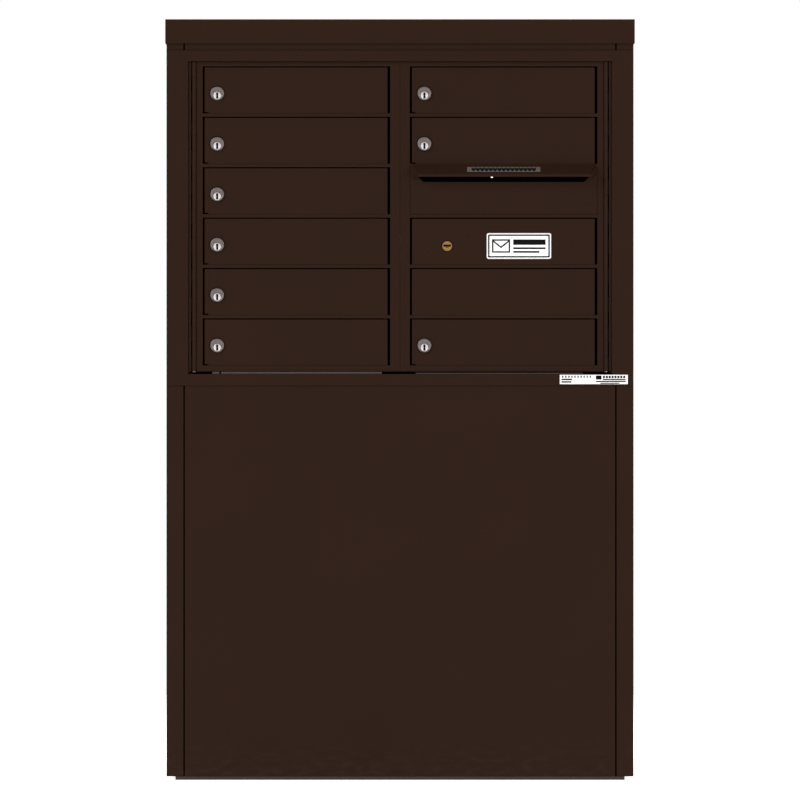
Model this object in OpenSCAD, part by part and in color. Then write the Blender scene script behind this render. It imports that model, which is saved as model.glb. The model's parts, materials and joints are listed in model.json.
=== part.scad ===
// Cluster mailbox unit in a free-standing depot cabinet: nine locked tenant doors and an outgoing-mail slot
// in two loading doors that open from the middle. Front faces -Y, X runs to the viewer's right, Z is up.
// The origin is the centre of the base plate's underside. The locks rest unlocked, with their cams up.

/* [Cabinet] */
// Width over the side panels
body_w = 823.6; // [823:0.2:825]
// Depth over the posts and the rear panel
body_d = 470; // [460:1:520]
// Height over the cap
total_h = 1341.3; // [1335:0.1:1400]
// Thickness of the folded sheet
sheet = 2; // [1.6:0.1:2]
// Height of the cap's skirt
cap_h = 42.5; // [30:0.5:44]
// Thickness of the base plate
base_t = 6.2; // [5:0.1:9]
// Radius of the anchor holes
anchor_r = 7; // [5:0.5:10]
// Spacing of the anchor holes across the cabinet
anchor_x = 686; // [500:1:720]
// Spacing of the anchor holes front to back
anchor_y = 304.8; // [200:0.1:400]

/* [Face frame and loading doors] */
// Thickness of the face frame
frame_t = 2.5; // [2:0.1:3]
// Half width of the face frame's opening
open_x = 373.3; // [373:0.1:374]
// Bottom edge of the face frame's opening
open_z0 = 715.9; // [714:0.1:716]
// Top edge of the face frame's opening
open_z1 = 1267.2; // [1267:0.1:1268]
// Depth of the flanges on the loading doors
door_flange = 14; // [12.5:0.1:14]
// Number of knuckles in each continuous hinge, an odd number
knuckles = 21; // [11:2:31]
// Running clearance of hinge pins, rods and lock plugs
fit = 0.05; // [0.02:0.01:0.09]

/* [Tenant doors] */
// Height from one tenant door to the next
pitch = 88.9; // [88.5:0.1:89]
// Width of a tenant door
tenant_w = 322.2; // [321.8:0.1:322.3]
// Height of a tenant door
tenant_h = 80.6; // [79:0.1:80.7]
// Depth of a tenant door's flanges
pan_d = 12; // [10:0.1:12]
// Radius of the tenant lock's face ring
ring_r = 12.5; // [12:0.1:13]
// Length of the tenant lock's cam from its axis
cam_l = 31.5; // [30:0.1:33]

/* [Hidden] */
$fn = 48;
paint = [0.2, 0.14, 0.11];
steel = [0.62, 0.62, 0.6];
nickel = [0.55, 0.53, 0.52];
brass = [0.72, 0.58, 0.32];
white = [0.93, 0.93, 0.92];

TIERS = 6;
DOORS = 9;
// Column of each tenant door, 0 left and 1 right, and its tier from the top
door_col = [0, 0, 0, 0, 0, 0, 1, 1, 1];
door_tier = [1, 2, 3, 4, 5, 6, 1, 2, 6];

// Cabinet planes
half_w = body_w / 2;
y_front = -body_d / 2;
y_rear = body_d / 2;
panel_z1 = total_h - sheet;
inner_z1 = panel_z1 - sheet;
post_x = half_w - 30;
lower_x = post_x - 2.3;
rear_x = half_w - 23.2;
rear_post_x = half_w - 19.8;
flange = 18;
tab_y0 = y_front + flange;
side_foot = 28;
lower_top_z = open_z0 - 10.9;
header_z0 = open_z1 + 2.8;
frame_x = half_w - 0.8;
frame_z0 = open_z0 - 20.3;
frame_z1 = open_z1 + 19.1;
base_x = 396;
base_y = 233;
cap_over = 2.2;
cap_lip = 5;

// Loading doors
face_y = y_front + 3;
skin_y = face_y + 2;
flange_y = face_y + door_flange;
door_z0 = 720.2;
door_z1 = 1266.7;
hinge_x = 363.3;
hinge_r = 3.6;
pin_r = 1.5;
leaf_t = 2;
door_hinge_x = hinge_x - 4.2;
door_free_x = 0.2;
cut_in = 17.5;
cut_out = 348;
cut_h = 82.9;
cut_top_1 = 1258.4;
rail_h = pitch - cut_h;
hinge_z0 = 721;
hinge_z1 = 1266;

// Tenant doors and their locks
gap_left = 3.6;
gap_top = 2;
close_gap = 0.5;
edge_w = 6.4;
edge_back = 0.4;
rod_in = 4;
rod_back = 8;
rod_y = face_y + rod_back;
rod_r = 1.5;
ear_half = 6;
lock_in = 22;
lock_down = 47.8;
plug_low = 3.5;
barrel_r = 9.5;
plug_r = 5.5;
ring_t = 3.5;
cam_y = face_y + 16;
cam_t = 2;

// Mailbox module
mod_x = open_x - 0.7;
mod_z0 = 718;
mod_z1 = 1266.5;
mod_y0 = face_y + 17;
mod_side_y0 = face_y - 3;
mod_y1 = y_rear - 50;
back_y = mod_y1 - 14;
shelf_y = face_y + 24;
shelf_t = 1.5;
divider_x = 10;
divider_t = 1.5;
divider_y = shelf_y + 2;
keeper_x = 17;
keeper_z0 = 915;
keeper_z1 = 970;

// Sill of the opening, under the loading doors
sill_y = face_y + 1;
sill_t = 3;
sill_z1 = door_z0 - 0.5;
left_strips = [[-331, -318.5], [-315.5, -32]];
right_strip = [28, 322];
right_strip_z1 = open_z0 + 1.8;

// Outgoing slot and hood
slot_x = [33, 333];
slot_z = [1054.6, 1072];
slot_cut = 8.4;
hood_x = [20, 345];
hood_lip_x = [31, 336];
hood_z = [1063.5, 1085.5];
hood_lip_h = 4.5;
hood_out = 20;
baffle_x = [30, 332];
baffle_t = 1.5;

// Carrier's lock and the two slide bolts
arrow_x = 83.2;
arrow_z = 941.4;
arrow_r = 9.5;
case_x = [46, 127];
case_z = [915, 963];
case_front = 4;
case_y1 = face_y + 34;
crank_r = 6.4;
crank_pin_r = 2;
crank_at = 45;
crank_x = arrow_x + crank_r * cos(crank_at);
bolt_y = [divider_y + 0.5, divider_y + 5.5];
bolt_low = 7.5;
bolt_high = 11.5;
bolt_tip = 21;
plate_x = 209.7;
plate_z = 941.6;

function cut_x0(col) = col == 0 ? -cut_out : cut_in;
function cut_x1(col) = col == 0 ? -cut_in : cut_out;
function cut_top(tier) = cut_top_1 - (tier - 1) * pitch;
function cut_bottom(tier) = cut_top(tier) - cut_h;
function rail_z(tier) = cut_bottom(tier) - rail_h / 2;
function pan_x0(col) = cut_x0(col) + gap_left;
function pan_x1(col) = pan_x0(col) + tenant_w;
function pan_z1(tier) = cut_top(tier) - gap_top;
function rod_x(col) = pan_x1(col) - rod_in;
function lock_x(col) = pan_x0(col) + lock_in;
function lock_z(tier) = cut_top(tier) - lock_down;

// A block from its lowest to its highest corner
module block(a, b) {
    translate(a) cube(b - a);
}

// A cylinder along Y
module bar_y(x, z, r, y0, y1) {
    translate([x, y1, z]) rotate([90, 0, 0]) cylinder(r = r, h = y1 - y0);
}

module bar_z(x, y, r, z0, z1) {
    translate([x, y, z0]) cylinder(r = r, h = z1 - z0);
}

module both_sides() {
    children();
    mirror([1, 0, 0]) children();
}

// A flat plate in the XZ plane with rounded corners, from its centre
module rounded_plate(w, h, r) {
    square([w - 2 * r, h], center = true);
    square([w, h - 2 * r], center = true);
    for (x = [-1, 1], z = [-1, 1]) translate([x * (w / 2 - r), z * (h / 2 - r)]) circle(r);
}

// ---------- Cabinet ----------

module base_plate() color(paint) difference() {
    block([-base_x, -base_y, 0], [base_x, base_y, base_t]);
    for (x = [-1, 1], y = [-1, 1]) bar_z(x * anchor_x / 2, y * anchor_y / 2, anchor_r, -1, base_t + 1);
}

// Right-hand side panel, folded round into a post at the front and the back
module side_panel() color(paint) {
    block([half_w - sheet, y_front, base_t], [half_w, y_rear, panel_z1]);
    block([post_x, y_front, base_t], [half_w, y_front + sheet, panel_z1]);
    block([post_x, y_front, base_t], [post_x + sheet, tab_y0, panel_z1]);
    block([rear_post_x, y_rear - sheet, base_t], [half_w, y_rear, panel_z1]);
    block([rear_post_x, y_rear - flange, base_t], [rear_post_x + sheet, y_rear, panel_z1]);
    for (z = [base_t, inner_z1])
        block([half_w - side_foot, y_front + sheet, z], [half_w, y_rear - sheet, z + sheet]);
}

module left_side_panel() mirror([1, 0, 0]) side_panel();

module right_side_panel() side_panel();

// Tabs that lie behind the posts' inner returns
module post_tabs(x0, x1, y0, z0, z1) both_sides() {
    block([x0, y0, z0], [x1, y0 + sheet, z1]);
}

module rear_panel() color(paint) {
    block([-rear_x, y_rear - sheet, base_t], [rear_x, y_rear, inner_z1]);
    block([-rear_x, y_rear - 30, inner_z1 - sheet], [rear_x, y_rear, inner_z1]);
    block([-rear_x + 10, y_rear - 30, base_t], [rear_x - 10, y_rear, base_t + sheet]);
    both_sides() block([rear_x - sheet, y_rear - flange - sheet, base_t + 6], [rear_x, y_rear, inner_z1]);
    post_tabs(rear_x - sheet, rear_x + 14, y_rear - flange - sheet, base_t + 6, inner_z1 - 6);
}

module lower_front_panel() color(paint) {
    block([-lower_x, y_front, base_t], [lower_x, y_front + sheet, lower_top_z]);
    block([-lower_x, y_front, base_t], [lower_x, y_front + 30, base_t + sheet]);
    block([-lower_x, y_front, lower_top_z - sheet], [lower_x, y_front + flange, lower_top_z]);
    both_sides() block([lower_x - sheet, y_front, base_t], [lower_x, tab_y0 + sheet, lower_top_z]);
    post_tabs(lower_x - sheet, lower_x + 21, tab_y0, base_t + 6, lower_top_z);
}

module header_rail() color(paint) {
    block([-lower_x, y_front, header_z0], [lower_x, y_front + sheet, inner_z1]);
    block([-lower_x, y_front, inner_z1 - sheet], [lower_x, y_front + 35, inner_z1]);
    block([-lower_x, y_front, header_z0], [lower_x, y_front + 14, header_z0 + sheet]);
    both_sides() block([lower_x - sheet, y_front, header_z0], [lower_x, tab_y0 + sheet, inner_z1]);
    post_tabs(lower_x - sheet, lower_x + 21, tab_y0, header_z0, inner_z1 - 6);
}

module top_cap() color(paint) difference() {
    block([-half_w - cap_over, y_front - cap_lip, total_h - cap_h],
          [half_w + cap_over, y_rear + cap_lip, total_h]);
    block([-half_w - cap_over + sheet, y_front - cap_lip + sheet, total_h - cap_h - 1],
          [half_w + cap_over - sheet, y_rear + cap_lip - sheet, panel_z1]);
}

module face_frame() color(paint) difference() {
    union() {
        block([-frame_x, y_front - frame_t, frame_z0], [frame_x, y_front, frame_z1]);
        block([-open_x - sheet, y_front - frame_t, open_z0 - sheet],
              [open_x + sheet, y_front + 12, open_z1 + sheet]);
    }
    block([-open_x, y_front - frame_t - 1, open_z0], [open_x, y_front + 13, open_z1]);
}

// Angles on the side panels that the mailbox module stands on
module support_rails() color(paint) both_sides() {
    block([half_w - 2 * sheet, y_front + 25, mod_z0 - 42], [half_w - sheet, mod_y1 + 15, mod_z0]);
    block([mod_x - 24, y_front + 25, mod_z0 - sheet], [half_w - sheet, mod_y1 + 15, mod_z0]);
}

// ---------- Mailbox module ----------

module module_wrapper() color(paint) difference() {
    union() {
        block([-mod_x, mod_y0, mod_z0], [mod_x, mod_y1, mod_z1]);
        both_sides() block([mod_x - sheet, mod_side_y0, mod_z0], [mod_x, mod_y1, mod_z1]);
    }
    block([-mod_x + sheet, mod_y0 - 1, mod_z0 + sheet], [mod_x - sheet, mod_y1 + 1, mod_z1 - sheet]);
}

module module_back_wall() color(paint) difference() {
    block([-mod_x + sheet, back_y, mod_z0 + sheet], [mod_x - sheet, mod_y1, mod_z1 - sheet]);
    block([-mod_x + 2 * sheet, back_y + sheet, mod_z0 + 2 * sheet],
          [mod_x - 2 * sheet, mod_y1 + 1, mod_z1 - 2 * sheet]);
}

module centre_divider() color(paint) difference() {
    block([-divider_x, divider_y, mod_z0 + sheet], [divider_x, back_y, mod_z1 - sheet]);
    block([-divider_x + divider_t, divider_y + divider_t, mod_z0],
          [divider_x - divider_t, back_y + 1, mod_z1]);
}

// One shelf with a rolled front lip, as wide as its column
module shelf(col, z) {
    x0 = col == 0 ? -mod_x + sheet : divider_x;
    x1 = col == 0 ? -divider_x : mod_x - sheet;
    block([x0, shelf_y, z - shelf_t / 2], [x1, back_y, z + shelf_t / 2]);
    block([x0, shelf_y, z - rail_h / 2], [x1, shelf_y + shelf_t, z + rail_h / 2]);
}

module compartment_shelves() color(paint) {
    for (tier = [1:TIERS - 1]) shelf(0, rail_z(tier));
    for (tier = [1, 2, 5]) shelf(1, rail_z(tier));
}

// Bright strips that stand on the face frame's lower return
module sill_strips() color(steel) {
    for (x = left_strips) block([x[0], sill_y, open_z0], [x[1], sill_y + sill_t, sill_z1]);
    block([right_strip[0], sill_y, open_z0], [right_strip[1], sill_y + sill_t, right_strip_z1]);
}

// Painted lip behind the lower right-hand strip
module sill_lip() color(paint)
    block([right_strip[0], sill_y + sill_t, open_z0], [right_strip[1], sill_y + sill_t + sheet, sill_z1]);

module bolt_keeper() color(steel) block([-keeper_x, shelf_y, keeper_z0], [keeper_x, divider_y, keeper_z1]);

// ---------- Continuous hinges of the loading doors ----------

knuckle_l = (hinge_z1 - hinge_z0) / knuckles;

// Leaf of the right-hand hinge: first = 0 for the fixed leaf's knuckles, 1 for the moving leaf's
module hinge_leaf(x0, y0, y1, first) difference() {
    union() {
        block([x0, y0, hinge_z0], [x0 + leaf_t, y1, hinge_z1]);
        for (k = [first:2:knuckles - 1]) {
            z0 = hinge_z0 + k * knuckle_l + 0.15;
            z1 = hinge_z0 + (k + 1) * knuckle_l - 0.15;
            bar_z(hinge_x, face_y, hinge_r, z0, z1);
            block([min(x0, hinge_x), face_y + hinge_r - 1, z0],
                  [max(x0 + leaf_t, hinge_x), face_y + hinge_r + 1, z1]);
        }
    }
    bar_z(hinge_x, face_y, pin_r + fit, hinge_z0 - 1, hinge_z1 + 1);
}

module master_hinge_leaves() color(paint) both_sides()
    hinge_leaf(mod_x - sheet - leaf_t, mod_side_y0, mod_y0 - 1, 0);

module moving_leaf() color(paint) hinge_leaf(door_hinge_x, face_y + hinge_r + 0.4, flange_y - 1, 1);

module left_hinge_leaf() mirror([1, 0, 0]) moving_leaf();

module right_hinge_leaf() moving_leaf();

module master_hinge_pins() color(steel) both_sides() bar_z(hinge_x, face_y, pin_r, hinge_z0 - 2.2, hinge_z1);

// ---------- Loading doors ----------

// Folded door frame: a cut-out for each tier, a catch flange at each lock, an ear for the rod at each rail
module master_frame(col) color(paint) {
    x0 = col == 0 ? -door_hinge_x : door_free_x;
    x1 = col == 0 ? -door_free_x : door_hinge_x;
    ear_z = concat([cut_top_1 + 3], [for (tier = [1:TIERS - 1]) rail_z(tier)], [cut_bottom(TIERS) - 5]);
    difference() {
        block([x0, face_y, door_z0], [x1, skin_y, door_z1]);
        for (tier = [1:TIERS])
            block([cut_x0(col), face_y - 1, cut_bottom(tier)], [cut_x1(col), skin_y + 1, cut_top(tier)]);
    }
    for (x = [x0, x1 - sheet]) block([x, face_y, door_z0], [x + sheet, flange_y, door_z1]);
    for (z = [door_z0, door_z1 - sheet]) block([x0, face_y, z], [x1, flange_y, z + sheet]);
    for (tier = [1:TIERS])
        block([cut_x0(col) - sheet, face_y, cut_bottom(tier)], [cut_x0(col), flange_y, cut_top(tier)]);
    difference() {
        for (z = ear_z)
            block([rod_x(col) - ear_half, face_y, z - 1], [rod_x(col) + ear_half, flange_y, z + 1]);
        bar_z(rod_x(col), rod_y, rod_r + fit, door_z0 + 3, door_z1 - 3);
    }
}

module left_master_frame() master_frame(0);

module right_master_frame() master_frame(1);

module hinge_rod(col) color(steel) bar_z(rod_x(col), rod_y, rod_r, door_z0 + 3, door_z1 - 3);

module left_tenant_hinge_rod() hinge_rod(0);

module right_tenant_hinge_rod() hinge_rod(1);

// Bracket on the left loading door with two staples that guide the latch bolt
module latch_guide() color(steel) {
    x0 = -64;
    x1 = -36;
    for (tier = [3, 4])
        block([x0, skin_y, rail_z(tier) - 2.5], [x1, face_y + 20, rail_z(tier) + 2.5]);
    block([x0, face_y + 18, rail_z(4) - 2.5], [x1, face_y + 20, rail_z(3) + 2.5]);
    for (x = [x0 + 2, x1 - 8]) difference() {
        block([x, face_y + 20, arrow_z - 11.5], [x + 6, bolt_y[1] + 2.5, arrow_z + 11.5]);
        block([x - 1, bolt_y[0] - 0.5, arrow_z - bolt_low - 0.4],
              [x + 7, bolt_y[1] + 0.5, arrow_z + bolt_low + 0.4]);
    }
}

module latch_bolt() color(steel) {
    block([-70, bolt_y[0], arrow_z - bolt_low], [-bolt_tip, bolt_y[1], arrow_z + bolt_low]);
    block([-31, bolt_y[0] - 9, arrow_z - 5], [-27, bolt_y[0], arrow_z + 5]);
}

// ---------- Tenant doors and fixed panels ----------

// Folded pan with flanges at its top, bottom and left, bored for the rod of its column
module pan_between(col, x0, x1, z0, z1) difference() {
    union() {
        block([x0, face_y, z0], [x1, skin_y, z1]);
        block([x0, face_y, z0], [x0 + sheet, face_y + pan_d, z1]);
        for (z = [z0, z1 - sheet]) block([x0, face_y, z], [x1, face_y + pan_d, z + sheet]);
    }
    bar_z(rod_x(col), rod_y, rod_r + fit, z0 - 1, z1 + 1);
}

module pan(col, tier) {
    z1 = pan_z1(tier);
    pan_between(col, pan_x0(col), pan_x1(col), z1 - tenant_h, z1);
}

// Tab on a fixed panel's left flange that holds it behind the catch flange
module fixing_tab(tier, x0) {
    z = pan_z1(tier) - tenant_h / 2;
    block([x0, face_y, z - 12], [x0 + sheet, flange_y + sheet, z + 12]);
    block([cut_in - 7, flange_y, z - 12], [x0 + sheet, flange_y + sheet, z + 12]);
}

// The edge beside the lock is set back a little and is notched at its foot
module tenant_door(n) color(paint) difference() {
    x0 = pan_x0(door_col[n - 1]);
    z1 = pan_z1(door_tier[n - 1]);
    z0 = z1 - tenant_h;
    pan(door_col[n - 1], door_tier[n - 1]);
    bar_y(lock_x(door_col[n - 1]), lock_z(door_tier[n - 1]), barrel_r + 0.2, face_y - 1, skin_y + 1);
    block([x0 - 1, face_y - 1, z0 - 1], [x0 + edge_w, face_y + pan_d + 1, z0 + sheet]);
    block([x0 - 1, face_y - 1, z0 - 1], [x0 + edge_w, face_y + edge_back, z1 + 1]);
}

module lock_body(n) color(nickel) {
    x = lock_x(door_col[n - 1]);
    z = lock_z(door_tier[n - 1]);
    difference() {
        union() {
            bar_y(x, z, ring_r, face_y - 2.3, face_y);
            translate([x, face_y - 2.3, z]) rotate([90, 0, 0])
                cylinder(r1 = ring_r, r2 = ring_r - 1.2, h = ring_t - 2.3);
            bar_y(x, z, barrel_r, face_y, cam_y - 0.5);
        }
        bar_y(x, z - plug_low, plug_r + fit, face_y - 10, cam_y);
        bar_y(x, z - plug_low, plug_r + 1.6, face_y - 10, face_y - 1);
    }
    difference() {
        translate([x, skin_y + 4, z]) rotate([90, 0, 0]) cylinder(r = 14, h = 4, $fn = 6);
        bar_y(x, z, barrel_r + 0.1, skin_y - 1, skin_y + 5);
    }
}

// Plug with its keyway, the cam behind it and the cam's screw
module lock_plug(n) color(nickel) {
    x = lock_x(door_col[n - 1]);
    z = lock_z(door_tier[n - 1]) - plug_low;
    difference() {
        union() {
            bar_y(x, z, plug_r + 1.2, face_y - 3.2, face_y - 1.3);
            bar_y(x, z, plug_r, face_y - 1.5, cam_y);
        }
        block([x - 1, face_y - 5, z - 5], [x + 1, face_y + 3, z + 5]);
    }
    bar_y(x, z, 7, cam_y, cam_y + cam_t);
    translate([x, cam_y + cam_t, z]) rotate([90, 0, 0]) linear_extrude(cam_t)
        polygon([[-6.5, 0], [6.5, 0], [4.5, cam_l - 1.5], [3, cam_l], [-3, cam_l], [-4.5, cam_l - 1.5]]);
    bar_y(x, z, 4, cam_y + cam_t, cam_y + cam_t + 2);
}

module slot_panel() color(paint) difference() {
    union() {
        pan_between(1, cut_in + close_gap, cut_out - close_gap,
                    cut_bottom(3) + close_gap, cut_top(3) - close_gap);
        fixing_tab(3, cut_in + close_gap);
    }
    translate([0, skin_y + 1, 0]) rotate([90, 0, 0]) linear_extrude(4) polygon([
        [slot_x[0], slot_z[1]], [slot_x[1], slot_z[1]], [slot_x[1], slot_z[0] + slot_cut],
        [slot_x[1] - slot_cut, slot_z[0]], [slot_x[0] + slot_cut, slot_z[0]],
        [slot_x[0], slot_z[0] + slot_cut]]);
}

module lock_panel() color(paint) difference() {
    union() {
        pan(1, 4);
        fixing_tab(4, pan_x0(1));
    }
    bar_y(arrow_x, arrow_z, arrow_r + 0.5, face_y - 1, skin_y + 1);
}

module blank_panel() color(paint) {
    pan(1, 5);
    fixing_tab(5, pan_x0(1));
}

// A wedge from a rectangle on the door's face to a lower one at the lip
module hood_solid(inset) hull() {
    block([hood_x[0] + inset, face_y - 0.1, hood_z[0] - inset],
          [hood_x[1] - inset, face_y, hood_z[1] - inset * 1.3]);
    block([hood_lip_x[0] + inset, face_y - hood_out + inset, hood_z[0] - inset],
          [hood_lip_x[1] - inset, face_y - hood_out + inset + 0.1, hood_z[0] + hood_lip_h - inset / 2]);
}

module outgoing_hood() color(paint) difference() {
    hood_solid(0);
    hood_solid(sheet);
    block([hood_x[0] + sheet, face_y - 1.5, hood_z[0] - sheet],
          [hood_x[1] - sheet, face_y + 1, hood_z[0] + 13]);
}

// Sheet behind the slot that turns the mail down and keeps hands out
module slot_baffle() color(paint) {
    y0 = skin_y;
    y1 = face_y + 20;
    translate([baffle_x[0], 0, 0]) rotate([90, 0, 90]) linear_extrude(baffle_x[1] - baffle_x[0]) polygon([
        [y0, slot_z[1] + 0.8], [y0, slot_z[1] + 4], [y0 + baffle_t, slot_z[1] + 4],
        [y1 + baffle_t, slot_z[0] - 8], [y1 + baffle_t, slot_z[0] - 22], [y1, slot_z[0] - 22],
        [y1, slot_z[0] - 8.4], [y0 + baffle_t, slot_z[1] + 0.8]]);
}

module mail_plate() color(white) translate([plate_x, face_y, plate_z]) rotate([90, 0, 0])
    linear_extrude(1.2) rounded_plate(114, 45.7, 3.5);

// ---------- Carrier's lock ----------

module arrow_lock_case() color(steel) {
    difference() {
        block([case_x[0], skin_y, case_z[0]], [case_x[1], case_y1, case_z[1]]);
        block([case_x[0] + sheet, skin_y + case_front, case_z[0] + sheet],
              [case_x[1] - sheet, case_y1 - sheet, case_z[1] - sheet]);
        bar_y(arrow_x, arrow_z, arrow_r + fit, skin_y - 1, skin_y + case_front + 1);
        block([case_x[0] - 1, bolt_y[0] - 0.5, arrow_z - bolt_low - 0.5],
              [case_x[0] + 3, case_y1 - sheet, arrow_z + bolt_high + 0.5]);
    }
    for (z = [[arrow_z - bolt_low - 6, arrow_z - bolt_low - 0.4],
              [arrow_z + bolt_high + 0.4, arrow_z + bolt_high + 6]])
        block([56, bolt_y[0] - 0.5, z[0]], [66, case_y1 - sheet, z[1]]);
}

module arrow_lock_plug() color(brass) {
    difference() {
        bar_y(arrow_x, arrow_z, arrow_r, face_y - 1.5, face_y + 22);
        block([arrow_x - 7, face_y - 3, arrow_z - 1.25], [arrow_x + 7, face_y + 4, arrow_z + 1.25]);
    }
    bar_y(arrow_x, arrow_z, arrow_r + 1, face_y + 22, face_y + 25);
    bar_y(crank_x, arrow_z + crank_r * sin(crank_at), crank_pin_r, face_y + 25, bolt_y[1] - 0.5);
}

// Slide bolt that the plug's crank pin drives through an upright slot
module arrow_lock_bolt() color(steel) difference() {
    block([bolt_tip, bolt_y[0], arrow_z - bolt_low], [98, bolt_y[1], arrow_z + bolt_high]);
    block([crank_x - crank_pin_r - 0.4, bolt_y[0] - 1, arrow_z + 1.9],
          [crank_x + crank_pin_r + 0.4, bolt_y[1] + 1, arrow_z + 8.9]);
}

// ---------- Assembly ----------

base_plate();
left_side_panel();
right_side_panel();
rear_panel();
lower_front_panel();
header_rail();
top_cap();
face_frame();
support_rails();
module_wrapper();
module_back_wall();
centre_divider();
compartment_shelves();
master_hinge_leaves();
master_hinge_pins();
bolt_keeper();
sill_strips();
sill_lip();
left_master_frame();
left_hinge_leaf();
left_tenant_hinge_rod();
latch_guide();
latch_bolt();
right_master_frame();
right_hinge_leaf();
right_tenant_hinge_rod();
slot_panel();
lock_panel();
blank_panel();
outgoing_hood();
slot_baffle();
mail_plate();
arrow_lock_case();
arrow_lock_plug();
arrow_lock_bolt();
for (n = [1:DOORS]) tenant_door(n);
for (n = [1:DOORS]) lock_body(n);
for (n = [1:DOORS]) lock_plug(n);
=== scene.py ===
"""Looks of the cluster mailbox unit: coated sheet, turned locks, printed plates and fasteners.

The front faces -Y, X runs to the viewer's right and Z is up. The scene is in metres. Sizes of small parts are
in mm, and the mesh helpers turn them into metres; those that are named with MM are in metres already.
"""

import json
import math

import bmesh
import bpy
from mathutils import Matrix, Vector


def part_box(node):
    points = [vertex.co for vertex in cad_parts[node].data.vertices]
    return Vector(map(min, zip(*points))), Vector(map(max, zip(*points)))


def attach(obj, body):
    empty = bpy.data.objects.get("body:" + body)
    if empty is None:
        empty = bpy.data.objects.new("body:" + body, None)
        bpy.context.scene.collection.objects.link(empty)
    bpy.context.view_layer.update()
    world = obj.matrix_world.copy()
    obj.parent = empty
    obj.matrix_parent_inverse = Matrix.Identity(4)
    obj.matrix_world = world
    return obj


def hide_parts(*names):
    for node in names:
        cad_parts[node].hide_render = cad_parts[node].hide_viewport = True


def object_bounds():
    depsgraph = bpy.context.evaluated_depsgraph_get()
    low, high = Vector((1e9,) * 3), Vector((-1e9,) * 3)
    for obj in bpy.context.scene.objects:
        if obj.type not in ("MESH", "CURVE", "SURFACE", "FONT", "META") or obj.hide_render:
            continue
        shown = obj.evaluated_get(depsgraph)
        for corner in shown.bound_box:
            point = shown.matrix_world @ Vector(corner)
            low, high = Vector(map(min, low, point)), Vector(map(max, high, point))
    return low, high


MM = 0.001

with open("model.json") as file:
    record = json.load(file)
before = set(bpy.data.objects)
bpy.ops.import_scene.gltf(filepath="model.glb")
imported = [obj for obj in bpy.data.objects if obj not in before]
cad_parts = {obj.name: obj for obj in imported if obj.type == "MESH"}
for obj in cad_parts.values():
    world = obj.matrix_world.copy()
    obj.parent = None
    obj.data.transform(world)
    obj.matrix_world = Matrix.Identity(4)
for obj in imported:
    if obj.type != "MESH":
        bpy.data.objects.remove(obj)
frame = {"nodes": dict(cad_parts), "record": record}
cad_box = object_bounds()
record = frame["record"]
body_of_node = {node: body for body, nodes in record["behaviour"]["bodies"].items() for node in nodes}
slot_of_node = {row["node"]: row["material_slot"] for row in record["subparts"]}
scene = bpy.context.scene

# Bends and edges of the folded sheet
BEND = 1.4 * MM
RIM = 0.3 * MM
WIDE_FACE = 4 * MM

# The front faces of the cabinet's face frame and of the closed doors
frame_face_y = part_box("face_frame")[0].y
door_face_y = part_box("left_master_frame")[0].y


# ---------- Materials ----------


class Finish:
    """A material under construction: its nodes, links, shader and Object coordinates."""

    def __init__(self, name):
        self.material = bpy.data.materials.new(name)
        self.material.use_nodes = True
        self.nodes = self.material.node_tree.nodes
        self.links = self.material.node_tree.links
        self.shader = self.nodes["Principled BSDF"]
        self.place = self.nodes.new("ShaderNodeTexCoord").outputs["Object"]

    def set(self, **values):
        for socket, value in values.items():
            self.shader.inputs[socket.replace("_", " ")].default_value = value
        return self

    def noise(self, scale, detail=2.0, stretch=None, roughness=0.5):
        """Noise of so many grains a metre; stretch gives its scale along X, Y and Z."""
        source = self.place
        if stretch:
            mapping = self.nodes.new("ShaderNodeMapping")
            mapping.inputs["Scale"].default_value = stretch
            self.links.new(self.place, mapping.inputs["Vector"])
            source = mapping.outputs["Vector"]
        texture = self.nodes.new("ShaderNodeTexNoise")
        texture.inputs["Scale"].default_value = scale
        texture.inputs["Detail"].default_value = detail
        texture.inputs["Roughness"].default_value = roughness
        self.links.new(source, texture.inputs["Vector"])
        return texture.outputs["Fac"]

    def spread(self, value, low, high, from_low=0.3, from_high=0.7):
        """The value mapped from one range to another and clamped."""
        ranged = self.nodes.new("ShaderNodeMapRange")
        sockets = ("From Min", "From Max", "To Min", "To Max")
        for socket, number in zip(sockets, (from_low, from_high, low, high)):
            ranged.inputs[socket].default_value = number
        self.links.new(value, ranged.inputs["Value"])
        return ranged.outputs["Result"]

    def blend(self, amount, first, second):
        """A colour between two, by a number or an output; each is a colour or another node's output."""
        mix = self.nodes.new("ShaderNodeMix")
        mix.data_type = "RGBA"
        if isinstance(amount, float):
            mix.inputs["Factor"].default_value = amount
        else:
            self.links.new(amount, mix.inputs["Factor"])
        for socket, colour in (("A", first), ("B", second)):
            target = next(s for s in mix.inputs if s.name == socket and s.type == "RGBA")
            if isinstance(colour, tuple):
                target.default_value = (*colour, 1.0)
            else:
                self.links.new(colour, target)
        return next(s for s in mix.outputs if s.type == "RGBA")

    def colour(self, output):
        self.links.new(output, self.shader.inputs["Base Color"])
        return self

    def rough(self, output):
        self.links.new(output, self.shader.inputs["Roughness"])
        return self

    def bump(self, *layers):
        """Bump from (height, depth in metres) layers, one feeding the next."""
        normal = None
        for height, depth in layers:
            node = self.nodes.new("ShaderNodeBump")
            node.inputs["Distance"].default_value = depth
            self.links.new(height, node.inputs["Height"])
            if normal:
                self.links.new(normal, node.inputs["Normal"])
            normal = node.outputs["Normal"]
        self.links.new(normal, self.shader.inputs["Normal"])
        return self

    def height_above_floor(self, low, high):
        """1 at low metres above the floor, falling to 0 at high."""
        split = self.nodes.new("ShaderNodeSeparateXYZ")
        self.links.new(self.place, split.inputs["Vector"])
        return self.spread(split.outputs["Z"], 1.0, 0.0, low, high)


DUST = (0.11, 0.095, 0.08)
DUST_REACH = 0.09
DUST_SHARE = 0.07
SPECKLE_SHARE = 0.35


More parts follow.
